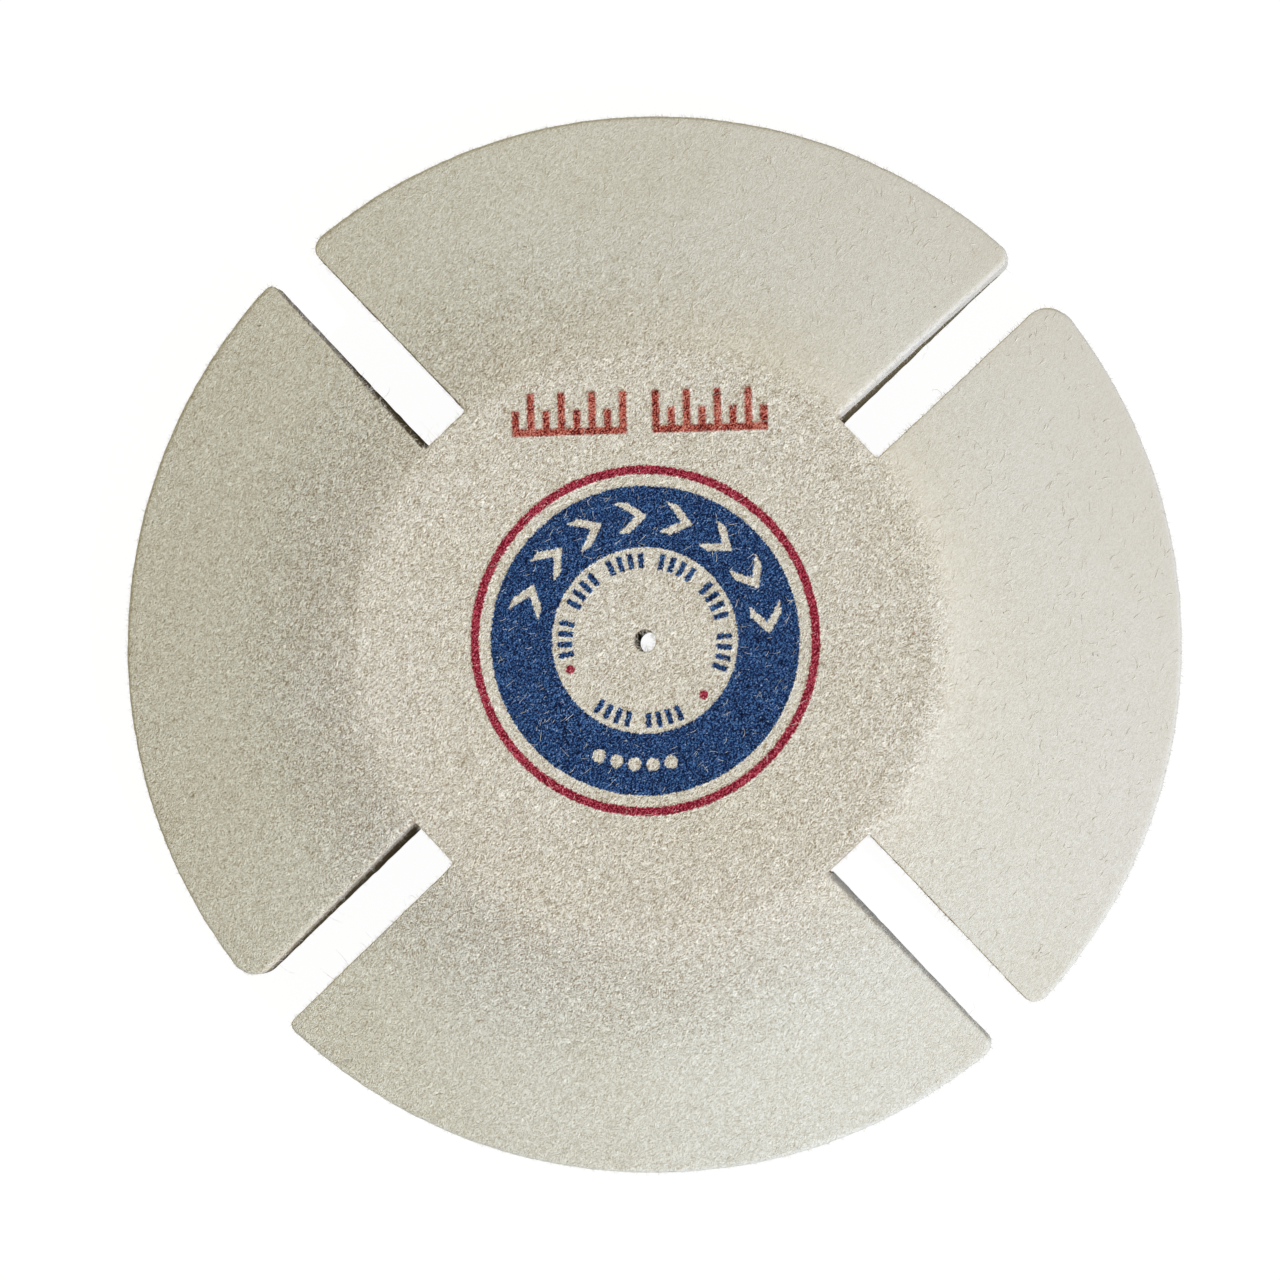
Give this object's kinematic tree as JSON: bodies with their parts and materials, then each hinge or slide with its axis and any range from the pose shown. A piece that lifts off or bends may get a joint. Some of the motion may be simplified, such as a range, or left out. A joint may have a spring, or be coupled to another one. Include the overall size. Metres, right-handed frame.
{
  "type": "felt polishing wheel",
  "caption": "Hard felt polishing wheel with a flat hub, a sloping face, radial slots and a centre pin hole.",
  "frame": {"origin": "on the wheel's axis, at the middle of the flat back face", "axes": "+Z along the axis, out of the printed hub face; the slots run out along +X, +Y, -X and -Y"},
  "size_m": [0.152, 0.152, 0.0127],
  "materials": {
    "felt": "hard pressed wool felt, dry and matt, with a fine grain",
    "blue_ink": "matt ink soaked into felt",
    "red_ink": "matt ink soaked into felt",
    "stamp_ink": "thin, uneven rubber stamp ink on felt"
  },
  "bodies": {
    "root": {"felt_wheel": "felt", "blue_band_print": "blue_ink", "red_ring_print": "red_ink", "blue_tick_print": "blue_ink", "red_dot_print": "red_ink", "red_grade_stamp": "stamp_ink"}
  },
  "joints": []
}
